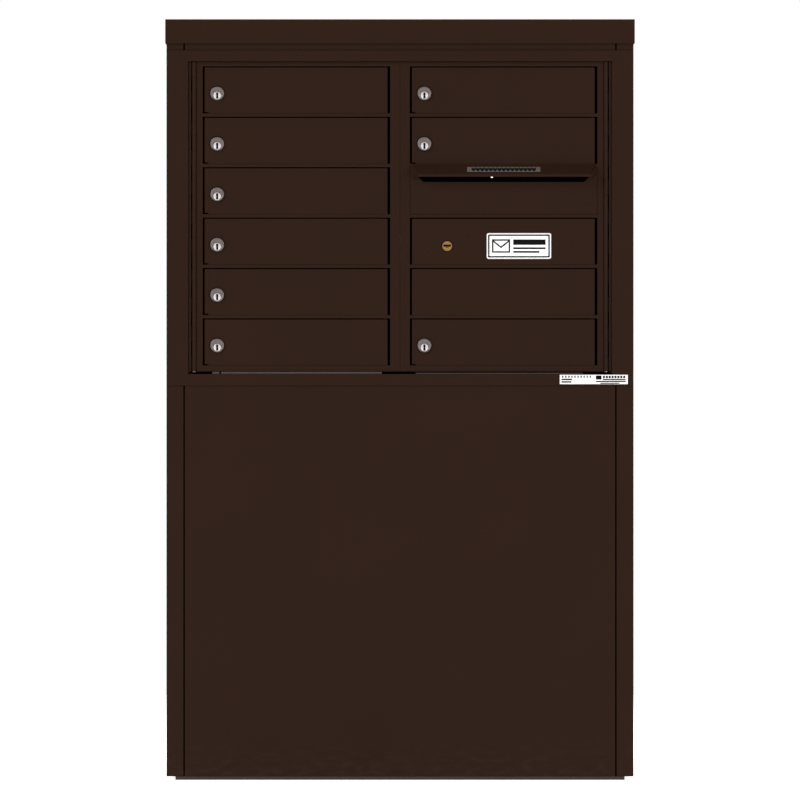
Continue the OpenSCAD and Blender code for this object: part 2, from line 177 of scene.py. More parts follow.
def powder_coat(name, base, lift=1.0, roughness=0.5, gloss=0.07):
    """Baked powder coat: a fine orange-peel skin, faint cloudiness, and a little dust low down."""
    finish = Finish(name)
    deep = tuple(c * 0.95 for c in base)
    pale = tuple(c * 1.05 + 0.0004 for c in base)
    cloud = finish.spread(finish.noise(5.0, 3.0), 0.0, 1.0)
    grain = finish.spread(finish.noise(1400.0, 1.0), 0.0, 1.0, 0.35, 0.65)
    tone = finish.blend(cloud, deep, pale)
    speckle = finish.blend(grain, tone, tuple(c * 1.12 + 0.0006 for c in base))
    coat = finish.blend(SPECKLE_SHARE, tone, speckle)
    dust_patches = finish.spread(finish.noise(38.0, 4.0, (1.0, 1.0, 2.5)), 0.0, 1.0, 0.45, 0.75)
    near_floor = finish.height_above_floor(0.0, DUST_REACH)
    dust = finish.nodes.new("ShaderNodeMath")
    dust.operation = "MULTIPLY"
    finish.links.new(dust_patches, dust.inputs[0])
    finish.links.new(near_floor, dust.inputs[1])
    thin_dust = finish.spread(dust.outputs[0], 0.0, DUST_SHARE, 0.0, 1.0)
    finish.colour(finish.blend(thin_dust, coat, DUST))
    finish.rough(finish.spread(finish.noise(16.0, 4.0), roughness - 0.015, roughness + 0.02))
    finish.bump(
        (finish.noise(620.0, 1.5), 0.00005 * lift),
        (finish.noise(2400.0, 1.0), 0.000015 * lift),
    )
    return finish.set(Specular_IOR_Level=gloss).material


def brushed_metal(name, base, along, roughness=0.3):
    """Drawn or brushed metal, with its lines along one axis and a few dull patches."""
    finish = Finish(name)
    stretch = tuple(0.02 if axis == along else 1.0 for axis in "XYZ")
    lines = finish.noise(5200.0, 2.0, stretch)
    patches = finish.spread(finish.noise(120.0, 3.0), 0.0, 1.0)
    finish.colour(finish.blend(patches, tuple(c * 0.86 for c in base), base))
    finish.rough(finish.spread(lines, roughness - 0.07, roughness + 0.09))
    finish.bump((lines, 0.00001))
    return finish.set(Metallic=1.0).material


def cast_metal(name, base, roughness=0.36, pit=0.00002):
    """Plated, cast or rolled metal without lines: a very fine grain with slight stains."""
    finish = Finish(name)
    stain = finish.spread(finish.noise(260.0, 4.0), 0.0, 1.0)
    grain = finish.noise(3800.0, 2.0)
    finish.colour(finish.blend(stain, tuple(c * 0.82 for c in base), base))
    finish.rough(finish.spread(grain, roughness - 0.06, roughness + 0.1))
    finish.bump((grain, pit))
    return finish.set(Metallic=1.0).material


FADE = 0.04


def printed_surface(name, base, roughness=0.4, coat=0.0, gloss=0.5):
    """Enamel, ink or label stock: nearly even, with a faint fade and a fine surface tooth."""
    finish = Finish(name)
    patches = finish.spread(finish.noise(60.0, 3.0), 0.0, 1.0)
    finish.colour(finish.blend(patches, tuple(c * (1.0 - FADE) for c in base), base))
    finish.rough(finish.spread(finish.noise(900.0, 1.0), roughness - 0.04, roughness + 0.06))
    finish.bump((finish.noise(1500.0, 1.0), 0.000008))
    return finish.set(Coat_Weight=coat, Specular_IOR_Level=gloss).material


BRONZE = (0.0164, 0.0064, 0.0029)
paint = powder_coat("bronze_powder_coat", BRONZE)
inner_paint = powder_coat("module_powder_coat", tuple(c * 0.9 for c in BRONZE), lift=0.8, roughness=0.55)
zinc = cast_metal("zinc_plated_steel", (0.46, 0.47, 0.46), roughness=0.42)
bright_steel = brushed_metal("bright_drawn_steel", (0.66, 0.66, 0.65), "Z", roughness=0.26)
ring_nickel = cast_metal("satin_nickel", (0.148, 0.124, 0.118), roughness=0.42)
plug_nickel = cast_metal("bright_nickel", (0.72, 0.67, 0.67), roughness=0.3, pit=0.000008)
brass = cast_metal("turned_brass", (0.33, 0.182, 0.056), roughness=0.36)
white_enamel = printed_surface("white_enamel", (0.86, 0.86, 0.85), roughness=0.3, coat=0.3)
silver_rim = brushed_metal("silver_rim", (0.62, 0.61, 0.6), "X", roughness=0.35)
# Darkened, reddish aluminium for the sill strips: its colour holds painted shade and a painted reflection of
# the bronze paint.
aluminium_painted_shade = cast_metal("aluminium_painted_shade", (0.085, 0.069, 0.069), roughness=0.5)
bare_plate = cast_metal("bare_plate_steel", (0.052, 0.041, 0.038), roughness=0.55)
rolled_steel = brushed_metal("rolled_pin_end", (0.24, 0.2, 0.2), "Z", roughness=0.35)
blackened_steel = brushed_metal("blackened_steel", (0.02, 0.017, 0.015), "Z", roughness=0.5)
black_ink = printed_surface("black_ink", (0.004, 0.004, 0.004), roughness=0.6, gloss=0.04)
# Near-black for the plates behind the keyways: painted shade where a keyway is dark inside.
keyway_shade_black = printed_surface("keyway_painted_shade", (0.002, 0.002, 0.002), roughness=0.7, gloss=0.05)
# Near-black that paints shade: round the foot of each lock's face, on the slot's baffle and down the hood's
# right-hand end.
painted_shade_black = printed_surface("painted_shade_black", (0.0015, 0.0014, 0.0014), roughness=0.9, gloss=0.03)
label_grey = printed_surface("label_grey", (0.1, 0.082, 0.074), roughness=0.5, gloss=0.1)
label_white = printed_surface("label_stock", (0.84, 0.84, 0.83), roughness=0.5)

material_of_slot = {
    "powder_coat": paint,
    "inner_coat": inner_paint,
    "zinc_steel": zinc,
    "bright_steel": bright_steel,
    "lock_nickel": ring_nickel,
    "plug_nickel": plug_nickel,
    "lock_brass": brass,
    "plate_white": white_enamel,
}


# ---------- Mesh helpers ----------


def add_piece(name, mesh, body, material, replaces=()):
    """Puts a finished mesh in the scene as a piece of one body."""
    if material:
        mesh.materials.clear()
        mesh.materials.append(material)
    piece = bpy.data.objects.new(name, mesh)
    scene.collection.objects.link(piece)
    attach(piece, body)
    if replaces:
        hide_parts(*replaces)


def evaluated_mesh(source):
    """A plain mesh of an object with its modifiers; the object and its own mesh are removed."""
    bpy.context.view_layer.update()
    graph = bpy.context.evaluated_depsgraph_get()
    ready = source.evaluated_get(graph)
    mesh = bpy.data.meshes.new_from_object(ready, preserve_all_data_layers=True, depsgraph=graph)
    old = source.data
    bpy.data.objects.remove(source)
    bpy.data.meshes.remove(old)
    return mesh


def mesh_from(bm, name):
    """The finished mesh of a shape under construction, with its faces turned outwards."""
    mesh = bpy.data.meshes.new(name)
    bmesh.ops.recalc_face_normals(bm, faces=bm.faces)
    bm.to_mesh(mesh)
    bm.free()
    return mesh


def joined(name, parts, weld=0.0):
    """One mesh of several, which are removed; corners closer than weld are merged."""
    whole = bmesh.new()
    for part in parts:
        whole.from_mesh(part)
        bpy.data.meshes.remove(part)
    if weld:
        bmesh.ops.remove_doubles(whole, verts=whole.verts, dist=weld)
    mesh = bpy.data.meshes.new(name)
    whole.to_mesh(mesh)
    whole.free()
    return mesh


def scratch_object(name, mesh):
    """An object that only holds a mesh while modifiers work on it."""
    thing = bpy.data.objects.new(name, mesh)
    scene.collection.objects.link(thing)
    return thing


def shade(mesh, angle=35):
    """Smooth shading, with edges sharper than the angle left crisp."""
    mesh.shade_smooth()
    mesh.set_sharp_from_angle(angle=math.radians(angle))
    return mesh


def rounded_copy(node, bend, rim):
    """A merged copy of a CAD part with its outer bends rounded and its sheared rims eased."""
    bm = bmesh.new()
    bm.from_mesh(frame["nodes"][node].data)
    bmesh.ops.remove_doubles(bm, verts=bm.verts, dist=0.002 * MM)
    bmesh.ops.dissolve_limit(bm, angle_limit=math.radians(0.5), verts=bm.verts, edges=bm.edges)
    weight = bm.edges.layers.float.new("bevel_weight_edge")
    for edge in bm.edges:
        if len(edge.link_faces) != 2 or edge.calc_face_angle_signed(0.0) < math.radians(40):
            continue
        narrow = min(face.calc_area() / edge.calc_length() for face in edge.link_faces)
        edge[weight] = 1.0 if narrow > WIDE_FACE else rim / bend
    mesh = bpy.data.meshes.new(node)
    bm.to_mesh(mesh)
    bm.free()
    part = scratch_object(node, mesh)
    bevel = part.modifiers.new("bends", "BEVEL")
    bevel.width = bend
    bevel.segments = 3
    bevel.limit_method = "WEIGHT"
    bevel.use_clamp_overlap = True
    bevel.miter_outer = "MITER_SHARP"
    mesh.shade_smooth()
    return flat_faced(evaluated_mesh(part), node)


def flat_faced(mesh, name):
    """The mesh with its wide faces shaded flat, so that only the bends look round."""
    shade(mesh, 50)
    part = scratch_object(name, mesh)
    normals = part.modifiers.new("flat_faces", "WEIGHTED_NORMAL")
    normals.mode = "FACE_AREA"
    normals.weight = 100
    normals.keep_sharp = True
    return evaluated_mesh(part)


def lathe(bm, profile, x=0.0, z=0.0, segments=48):
    """Turns (radius, depth) points in mm round an axis along Y; depth grows away from the viewer."""
    rings = []
    turns = [2 * math.pi * k / segments for k in range(segments)]
    for radius, depth in profile:
        if radius == 0:
            rings.append([bm.verts.new((x * MM, depth * MM, z * MM))])
            continue
        rings.append([
            bm.verts.new(((x + radius * math.cos(t)) * MM, depth * MM, (z + radius * math.sin(t)) * MM))
            for t in turns
        ])
    for first, second in zip(rings, rings[1:]):
        for k in range(segments):
            corners = [first[k % len(first)], first[(k + 1) % len(first)]]
            corners += [second[(k + 1) % len(second)], second[k % len(second)]]
            unique = list(dict.fromkeys(corners))
            if len(unique) > 2:
                bm.faces.new(unique)


def slab_into(bm, front, back):
    """Adds a solid between a front and a back loop of (x, y, z) corners, in mm."""
    front = [bm.verts.new((x * MM, y * MM, z * MM)) for x, y, z in front]
    back = [bm.verts.new((x * MM, y * MM, z * MM)) for x, y, z in back]
    bm.faces.new(front)
    bm.faces.new(back[::-1])
    for k in range(len(front)):
        n = (k + 1) % len(front)
        bm.faces.new((front[k], back[k], back[n], front[n]))


def plate_into(bm, outline, y0, y1):
    """Adds a flat plate with an outline of (x, z) points, between two depths, in mm."""
    slab_into(bm, [(x, y0, z) for x, z in outline], [(x, y1, z) for x, z in outline])


def rounded_outline(width, height, radius, steps=6):
    """Points of a rectangle with round corners about the origin, in mm."""
    points = []
    for quarter, (sx, sz) in enumerate(((1, 1), (-1, 1), (-1, -1), (1, -1))):
        for k in range(steps + 1):
            t = math.pi / 2 * (quarter + k / steps)
            x = sx * (width / 2 - radius) + radius * math.cos(t)
            points.append((x, sz * (height / 2 - radius) + radius * math.sin(t)))
    return points


def cut(mesh, cutter_mesh, name):
    """The first mesh with the second taken out of it."""
    part = scratch_object(name, mesh)
    tool = scratch_object(name + "_cutter", cutter_mesh)
    boolean = part.modifiers.new("cut", "BOOLEAN")
    boolean.operation = "DIFFERENCE"
    boolean.solver = "EXACT"
    boolean.object = tool
    result = evaluated_mesh(part)
    bpy.data.objects.remove(tool)
    bpy.data.meshes.remove(cutter_mesh)
    return result


def eased(mesh, width, name):
    """The mesh with its sharp edges eased by a width in mm."""
    part = scratch_object(name, mesh)
    bevel = part.modifiers.new("ease", "BEVEL")
    bevel.width = width * MM
    bevel.segments = 2
    bevel.limit_method = "ANGLE"
    bevel.angle_limit = math.radians(35)
    return shade(evaluated_mesh(part))


# ---------- Painted and plated sheet parts ----------

SHEET_SLOTS = ("powder_coat", "inner_coat", "zinc_steel")

# Bend radii that differ from the rest, by the first word or words of the part's name
ZINC_BEND = 0.45 * MM
BEND_OF = {
    "left_master": 0.6 * MM, "right_master": 0.6 * MM, "tenant": 1.2 * MM, "master_hinge": 0.4 * MM,
    "left_hinge": 0.4 * MM, "right_hinge": 0.4 * MM, "sill": 0.4 * MM, "top_cap": 3.0 * MM,
    "face_frame": 0.9 * MM,
}

# Parts whose finish differs from that of their slot
FINISH_OF = {
    # Painted shade: the slot's baffle is near-black for the dark inside of the slot, and the sill strips'
    # dark reddish aluminium holds painted shade and a painted reflection of the bronze paint.
    "slot_baffle": painted_shade_black, "sill_strips": aluminium_painted_shade, "base_plate": bare_plate,
    "latch_guide": blackened_steel, "latch_bolt": blackened_steel,
}


def bend_of(node):
    """Bend radius of a sheet part."""
    if slot_of_node[node] == "zinc_steel":
        return ZINC_BEND
    return next((bend for start, bend in BEND_OF.items() if node.startswith(start)), BEND)


def fold_sheet_parts():
    """Gives every sheet part its bend radii and eased rims."""
    for node, slot in slot_of_node.items():
        if slot not in SHEET_SLOTS:
            continue
        bend = bend_of(node)
        mesh = rounded_copy(node, bend, min(RIM, bend * 0.6))
        material = FINISH_OF.get(node, material_of_slot[slot])
        add_piece(node + "_sheet", mesh, body_of_node[node], material, [node])


# ---------- Hinge pins and rods ----------

PIN_R = 1.5
PIN_FOOT = 1.6
PIN_CHAMFER = 0.3
HEAD_R = 3.2
HEAD_T = 1.8


def place_hinge_pins():
    """Blackened pins of the loading doors, with a rolled steel head under the lowest knuckle."""
    low, high = (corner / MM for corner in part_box("master_hinge_pins"))
    upright = Matrix.Rotation(math.radians(90), 4, "X")
    y = (low.y + high.y) / 2
    length = high.z - low.z
    pin = [
        (0, PIN_FOOT), (PIN_R, PIN_FOOT), (PIN_R, length - PIN_CHAMFER), (PIN_R - PIN_CHAMFER, length),
        (0, length),
    ]
    head = [(0, 0), (2.5, 0), (HEAD_R, 0.6), (HEAD_R, 1.5), (2.9, HEAD_T), (0, HEAD_T)]
    for name, profile, material, replaced in (
        ("hinge_pins", pin, blackened_steel, ["master_hinge_pins"]),
        ("hinge_pin_heads", head, rolled_steel, []),
    ):
        bm = bmesh.new()
        for side in (-1, 1):
            lathe(bm, profile, x=side * (high.x - PIN_R), segments=24)
        mesh = mesh_from(bm, name)
        mesh.transform(Matrix.Translation((0, y * MM, low.z * MM)) @ upright)
        add_piece(name, shade(mesh), "root", material, replaced)


def blacken_hinge_rods():
    """The tenant doors' rods keep their shape and get a blackened finish."""
    for node in ("left_tenant_hinge_rod", "right_tenant_hinge_rod"):
        materials = frame["nodes"][node].data.materials
        materials.clear()
        materials.append(blackened_steel)


# ---------- Tenant locks ----------

RING_R = 12.5
# The plug stands below the middle of the ring
PLUG_LOW = 3.5
PLUG_R = 6.7
PLUG_GAP = 0.35
STEM_R = 5.5
STEM_BORE_R = 5.55
BARREL_R = 9.5
BARREL_END = 15.5
THREAD_PITCH = 1.0
THREAD_DEEP = 0.45
NUT_R = 14.0
NUT_CHAMFER_R = 12.4
CAM_AT = 16.0
CAM_T = 2.0
CAM_L = 31.5
CAM_BEHIND = CAM_AT + CAM_T
HUB_R = 7.0
CAM_SCREW_R = 4.0
WELD = 0.001 * MM


def lock_body_mesh():
    """Face ring with its concentric steps, threaded barrel, and the hexagonal nut behind the door."""
    bm = bmesh.new()
    thread = []
    depth = THREAD_PITCH
    while depth < BARREL_END - 1.2:
        thread += [(BARREL_R, depth), (BARREL_R - THREAD_DEEP, depth + THREAD_PITCH / 2)]
        depth += THREAD_PITCH
    profile = [
        (0, -2.6), (8.6, -2.6), (9.0, -2.75), (9.3, -3.25), (9.7, -3.5), (11.0, -3.5), (11.5, -3.35),
        (11.9, -2.9), (12.1, -2.2), (12.3, -2.0), (RING_R, -1.7), (RING_R, -0.2), (12.3, 0.0),
        (BARREL_R, 0.0),
    ]
    lathe(bm, profile + thread + [(BARREL_R - 0.5, BARREL_END), (0, BARREL_END)], segments=56)
    ring = mesh_from(bm, "lock_body")
    hole = bmesh.new()
    bore_r = PLUG_R + PLUG_GAP
    lathe(hole, [
        (0, -6), (bore_r, -6), (bore_r, -1.0), (STEM_BORE_R, -1.0), (STEM_BORE_R, 20), (0, 20),
    ], z=-PLUG_LOW)
    ring = cut(ring, mesh_from(hole, "plug_bore"), "lock_body")
    nut = bmesh.new()
    hole_r = BARREL_R + 0.1
    lathe(nut, [
        (hole_r, 2.0), (NUT_CHAMFER_R, 2.0), (NUT_R, 2.5), (NUT_R, 5.5), (NUT_CHAMFER_R, 6.0), (hole_r, 6.0),
    ], segments=6)
    return shade(joined("lock_body", (ring, mesh_from(closed_tube(nut), "nut"))), 40)


def closed_tube(bm):
    """Joins the first and last ring of a turned profile, so that a tube has an inner wall."""
    boundary = [edge for edge in bm.edges if edge.is_boundary]
    bmesh.ops.bridge_loops(bm, edges=boundary)
    return bm


# Upright, with a ward on its right and a lower left side that leans in, so that the key goes in one way up
KEYWAY = [
    (-1.5, -5.6), (1.5, -5.6), (2.0, -5.1), (2.0, -1.8), (1.6, -1.4), (1.6, 0.7), (2.0, 1.2), (2.0, 4.8),
    (1.5, 5.3), (-1.5, 5.3), (-2.0, 4.8), (-2.0, 1.2), (-1.7, 0.6), (-1.9, -5.1),
]


def keyway_shade_mesh(outline, depth):
    """A near-black plate behind a keyway: painted shade for the dark inside of the keyway."""
    bm = bmesh.new()
    plate_into(bm, [(x * 0.995, z * 0.995) for x, z in outline], depth, depth + 3.0)
    return mesh_from(bm, "keyway_shade")


def lock_plug_mesh():
    """Plug with a warded keyway, the flat cam with its narrow tip, and the cam's hub and screw."""
    bm = bmesh.new()
    lathe(bm, [
        (0, -3.2), (5.9, -3.2), (6.45, -3.0), (PLUG_R, -2.6), (PLUG_R, -1.5), (STEM_R, -1.3),
        (STEM_R, CAM_AT), (0, CAM_AT),
    ])
    keyway = bmesh.new()
    plate_into(keyway, KEYWAY, -5.0, 4.0)
    plug = cut(mesh_from(bm, "plug"), mesh_from(keyway, "keyway"), "plug")
    cam = bmesh.new()
    shoulder = CAM_L - 2
    cam_outline = [(-6.5, 0), (6.5, 0), (4.6, shoulder), (3.4, CAM_L), (-3.4, CAM_L), (-4.6, shoulder)]
    plate_into(cam, cam_outline, CAM_AT, CAM_BEHIND)
    cam = eased(mesh_from(cam, "cam"), 0.35, "cam")
    hub = bmesh.new()
    lathe(hub, [(0, CAM_AT), (HUB_R, CAM_AT), (HUB_R, CAM_BEHIND), (CAM_SCREW_R, CAM_BEHIND)], segments=40)
    lathe(hub, [
        (CAM_SCREW_R, CAM_BEHIND), (CAM_SCREW_R, CAM_AT + 3.4), (3.5, CAM_AT + 3.9), (1.4, CAM_AT + 4.0),
        (1.1, CAM_AT + 3.0), (0, CAM_AT + 3.0),
    ], segments=40)
    return shade(joined("lock_plug", (plug, cam, mesh_from(hub, "hub")), WELD), 32)


SHADE_RING_T = 0.35


def shade_ring_mesh(radius, width):
    """Thin near-black ring round the foot of a lock's face of that radius: painted shade for the gap round
    the face.
    """
    bm = bmesh.new()
    inner, outer = radius - 0.3, radius + width
    lathe(bm, [
        (inner, -SHADE_RING_T), (outer - 0.2, -SHADE_RING_T), (outer, -0.2), (outer, 0.0), (inner, 0.0),
    ], segments=56)
    return shade(mesh_from(closed_tube(bm), "shade_ring"))


def lock_centre(node):
    """The middle of a lock part, seen from the front, on the closed doors' face."""
    low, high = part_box(node)
    return Vector(((low.x + high.x) / 2, door_face_y, (low.z + high.z) / 2))


def place_tenant_locks():
    """A lock body and keyed plug in each tenant door, with painted shade: a near-black plate in the keyway
    and a near-black ring round the face; from one pattern of each.
    """
    # The keyway plate and the ring round the face are painted shade: near-black where the keyway and the gap
    # round the face are dark.
    # Each pattern, its piece, the part it rides with, whether it stands for that part, how low it sits,
    # its slot and its material
    keyway_shade = keyway_shade_mesh(KEYWAY, -2.95)
    patterns = (
        (lock_body_mesh(), "turned_lock_body", "lock_body", True, 0, "lock_nickel", ring_nickel),
        (lock_plug_mesh(), "keyed_plug", "lock_plug", True, PLUG_LOW, "plug_nickel", plug_nickel),
        (keyway_shade, "keyway_shade_plate", "lock_plug", False, PLUG_LOW, "plug_nickel", keyway_shade_black),
        (shade_ring_mesh(RING_R, 0.9), "lock_shade_ring", "lock_body", False, 0, "inner_coat", painted_shade_black),
    )
    for number in range(1, 10):
        centre = lock_centre(f"lock_body_{number}")
        for pattern, piece, part, stands_for_it, drop, slot, material in patterns:
            node = f"{part}_{number}"
            mesh = pattern.copy()
            mesh.transform(Matrix.Translation(centre - Vector((0, 0, drop * MM))))
            replaced = [node] if stands_for_it else []
            add_piece(f"{piece}_{number}", mesh, body_of_node[node], material, replaced)
    for row in patterns:
        bpy.data.meshes.remove(row[0])


# ---------- Carrier's lock ----------

ARROW_FACE_R = 8.8
ARROW_BARREL_R = 9.5
CRANK_DISC_R = 10.5
CRANK_DISC_AT = 22.0
CRANK_AT = 25.0
CRANK_END = 31.0
CRANK_R = 6.4
CRANK_PIN_R = 2.0
DRILL_PIN_R = 1.15

# Level, with a bay below its middle where the drill pin stands
LEVEL_KEYWAY = [
    (-6.2, -0.9), (-2.6, -0.9), (-1.6, -3.0), (1.6, -3.0), (2.6, -0.9), (6.2, -0.9), (6.8, -0.4), (6.8, 2.2),
    (6.2, 2.8), (-6.2, 2.8), (-6.8, 2.2), (-6.8, -0.4),
]


def place_arrow_plug():
    """Turned brass plug with a level keyway round a drill pin and its crank behind, with painted shade: a
    near-black plate in the keyway and a near-black ring round the plug.
    """
    to_lock = Matrix.Translation(lock_centre("arrow_lock_plug"))
    body = body_of_node["arrow_lock_plug"]
    bm = bmesh.new()
    lathe(bm, [
        (0, -1.1), (6.9, -1.1), (7.1, -0.95), (7.4, -0.95), (7.6, -1.4), (8.2, -1.5), (8.6, -1.35),
        (ARROW_FACE_R, -1.0), (ARROW_FACE_R, 0.4), (ARROW_BARREL_R, 0.6), (ARROW_BARREL_R, CRANK_DISC_AT),
        (CRANK_DISC_R, CRANK_DISC_AT), (CRANK_DISC_R, CRANK_AT), (0, CRANK_AT),
    ], segments=56)
    keyway = bmesh.new()
    plate_into(keyway, LEVEL_KEYWAY, -4.0, 6.0)
    plug = cut(mesh_from(bm, "arrow_plug"), mesh_from(keyway, "arrow_keyway"), "arrow_plug")
    pin = bmesh.new()
    swing = CRANK_R * math.sin(math.radians(45))
    lathe(pin, [
        (0, CRANK_AT), (CRANK_PIN_R, CRANK_AT), (CRANK_PIN_R, CRANK_END - 0.4), (1.6, CRANK_END),
        (0, CRANK_END),
    ], x=swing, z=swing, segments=24)
    plug = shade(joined("arrow_plug", (plug, mesh_from(pin, "crank_pin"))))
    post = bmesh.new()
    lathe(post, [
        (0, -1.1), (0.8, -1.1), (DRILL_PIN_R, -0.8), (DRILL_PIN_R, 6.2), (0, 6.2),
    ], z=-1.6, segments=20)
    post = shade(mesh_from(post, "drill_pin"))
    # Painted shade: a near-black plate in the keyway and a near-black ring round the plug's face.
    keyway_shade = keyway_shade_mesh(LEVEL_KEYWAY, -0.9)
    shade_ring = shade_ring_mesh(ARROW_FACE_R, 1.4)
    for name, mesh, slot, material, replaced in (
        ("turned_arrow_plug", plug, "lock_brass", brass, ["arrow_lock_plug"]),
        ("arrow_drill_pin", post, "lock_nickel", ring_nickel, []),
        ("arrow_keyway_shade_plate", keyway_shade, "lock_brass", keyway_shade_black, []),
        ("arrow_lock_shade_ring", shade_ring, "inner_coat", painted_shade_black, []),
    ):
        mesh.transform(to_lock)
        add_piece(name, mesh, body, material, replaced)


# ---------- Plates and labels ----------


def flat_print(name, outlines, body, material, y0, y1):
    """Printed areas, each an outline of (x, z) points in mm, as one thin raised piece."""
    bm = bmesh.new()
    for outline in outlines:
        plate_into(bm, outline, y0, y1)
    add_piece(name, shade(mesh_from(bm, name)), body, material)


def bar(x0, x1, z0, z1):
    """Outline of a rectangle between two edges each way."""
    return [(x0, z0), (x1, z0), (x1, z1), (x0, z1)]


def block(x, z, half_w, half_h):
    """Outline of a rectangle about a middle point."""
    return [(x + sx * half_w, z + sz * half_h) for sx, sz in ((1, 1), (-1, 1), (-1, -1), (1, -1))]


def frame_ring(bm, outer, inner, y0, y1):
    """A flat ring between two outlines with the same number of points."""
    front_out, front_in, back_out, back_in = (
        [bm.verts.new((x * MM, y * MM, z * MM)) for x, z in line] for y in (y0, y1) for line in (outer, inner)
    )
    for k in range(len(outer)):
        n = (k + 1) % len(outer)
        bm.faces.new((front_out[k], front_out[n], front_in[n], front_in[k]))
        bm.faces.new((back_out[n], back_out[k], back_in[k], back_in[n]))
        bm.faces.new((front_out[n], front_out[k], back_out[k], back_out[n]))
        bm.faces.new((front_in[k], front_in[n], back_in[n], back_in[k]))


# Outlines on the mail plate: how much less than the plate each one measures, and its corner radius
RIM_OUTSIDE = (0.0, 3.5)
RIM_INSIDE = (1.7, 2.7)
ENAMEL_EDGE = (1.6, 2.8)
BORDER_OUTSIDE = (5.0, 1.6)
BORDER_INSIDE = (10.2, 0.8)
ENAMEL_BELOW_RIM = 0.15
# The ink stands a little out of the enamel, and its foot is sunk into it
INK_BELOW_RIM = 0.07
INK_FOOT = 0.2

ENVELOPE_X = -31.5
ENVELOPE_HALF_W = 16.0
ENVELOPE_HALF_H = 11.8
ENVELOPE_LINE = 2.6
ENVELOPE_FLAP = [
    (1 - ENVELOPE_HALF_W, ENVELOPE_HALF_H - 0.6), (0, -0.6), (ENVELOPE_HALF_W - 1, ENVELOPE_HALF_H - 0.6),
    (ENVELOPE_HALF_W - 1, ENVELOPE_HALF_H - 3.8), (0, -3.9), (1 - ENVELOPE_HALF_W, ENVELOPE_HALF_H - 3.8),
]
# Left, right, foot and top of the printed bars, from the middle of the plate
PLATE_BARS = ((-10, 47, 2.0, 11.5), (-10, 47, -5.6, -2.4), (-10, 36, -12.0, -8.8))


def place_mail_plate():
    """White enamel plate with a silver rim, a printed border line, an envelope mark and plain bars."""
    low, high = (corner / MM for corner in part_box("mail_plate"))
    x, z = (low.x + high.x) / 2, (low.z + high.z) / 2
    face = low.y
    body = body_of_node["mail_plate"]

    def outline(less, radius):
        corners = rounded_outline(high.x - low.x - less, high.z - low.z - less, radius)
        return [(x + a, z + b) for a, b in corners]

    bm = bmesh.new()
    plate_into(bm, outline(*ENAMEL_EDGE), face + ENAMEL_BELOW_RIM, high.y)
    plate = eased(mesh_from(bm, "mail_plate"), 0.12, "mail_plate")
    add_piece("enamel_mail_plate", plate, body, white_enamel, ["mail_plate"])
    bm = bmesh.new()
    frame_ring(bm, outline(*RIM_OUTSIDE), outline(*RIM_INSIDE), face, high.y)
    add_piece("mail_plate_rim", eased(mesh_from(bm, "rim"), 0.15, "rim"), body, silver_rim)
    bm = bmesh.new()
    ink = (face + INK_BELOW_RIM, face + INK_FOOT)
    frame_ring(bm, outline(*BORDER_OUTSIDE), outline(*BORDER_INSIDE), *ink)
    middle = x + ENVELOPE_X
    outside = block(middle, z, ENVELOPE_HALF_W, ENVELOPE_HALF_H)
    inside = block(middle, z, ENVELOPE_HALF_W - ENVELOPE_LINE, ENVELOPE_HALF_H - ENVELOPE_LINE)
    frame_ring(bm, outside, inside, *ink)
    # The flap's front is just clear of the envelope's
    plate_into(bm, [(middle + a, z + b) for a, b in ENVELOPE_FLAP], ink[0] - 0.01, ink[1])
    for left, right, foot, top in PLATE_BARS:
        plate_into(bm, bar(x + left, x + right, z + foot, z + top), *ink)
    add_piece("mail_plate_print", shade(mesh_from(bm, "print")), body, black_ink)


# ---------- The hood's label, painted end shade and painted glint ---

HOOD_LIP = 4.5
LABEL_W = 129.0
LABEL_X = 182.9
LABEL_Z = (1072.2, 1081.0)
LABEL_LIFT = 0.35
CHEVRON = [(-3.5, 3.8), (0, 1.5), (3.5, 3.8), (3.5, -1.2), (0, -3.8), (-3.5, -1.2)]
CHEVRON_PITCH = 7.6
CHEVRONS_EACH_SIDE = 7
# Painted shade down the hood's right-hand end: its top, its foot and its width
END_SHADE_TOP = (343.4, 1082.5)
END_SHADE_FOOT = (338.0, 1070.5)
END_SHADE_W = 1.2
# A painted glint under the hood's lip: where it stands along the hood, its width, height and corner radius
GLINT_X = 161.9
GLINT_W, GLINT_H, GLINT_R = 4.2, 2.4, 1.1


def hood_slope(z):
    """Depth in mm of the hood's sloping face at a height."""
    low, high = (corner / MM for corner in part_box("outgoing_hood"))
    lip_top = low.z + HOOD_LIP
    return high.y + (low.y - high.y) * (high.z - z) / (high.z - lip_top)


def slope_slab_into(bm, outline, lift, foot):
    """Adds a slab on the hood's sloping face, from a lift in front of it to its foot."""
    slab_into(bm, *([(x, hood_slope(z) - out, z) for x, z in outline] for out in (lift, foot)))


def place_outgoing_label():
    """Grey label on the hood with a row of plain chevrons that point down to the slot."""
    body = body_of_node["outgoing_hood"]
    bm = bmesh.new()
    slope_slab_into(bm, bar(LABEL_X - LABEL_W / 2, LABEL_X + LABEL_W / 2, *LABEL_Z), LABEL_LIFT, 0.05)
    add_piece("hood_label", eased(mesh_from(bm, "label"), 0.1, "label"), body, label_grey)
    bm = bmesh.new()
    middle = sum(LABEL_Z) / 2
    for k in range(-CHEVRONS_EACH_SIDE, CHEVRONS_EACH_SIDE + 1):
        x = LABEL_X + k * CHEVRON_PITCH
        slope_slab_into(bm, [(x + a, middle + b) for a, b in CHEVRON], LABEL_LIFT + 0.08, LABEL_LIFT - 0.05)
    add_piece("hood_label_chevrons", shade(mesh_from(bm, "chevrons")), body, black_ink)


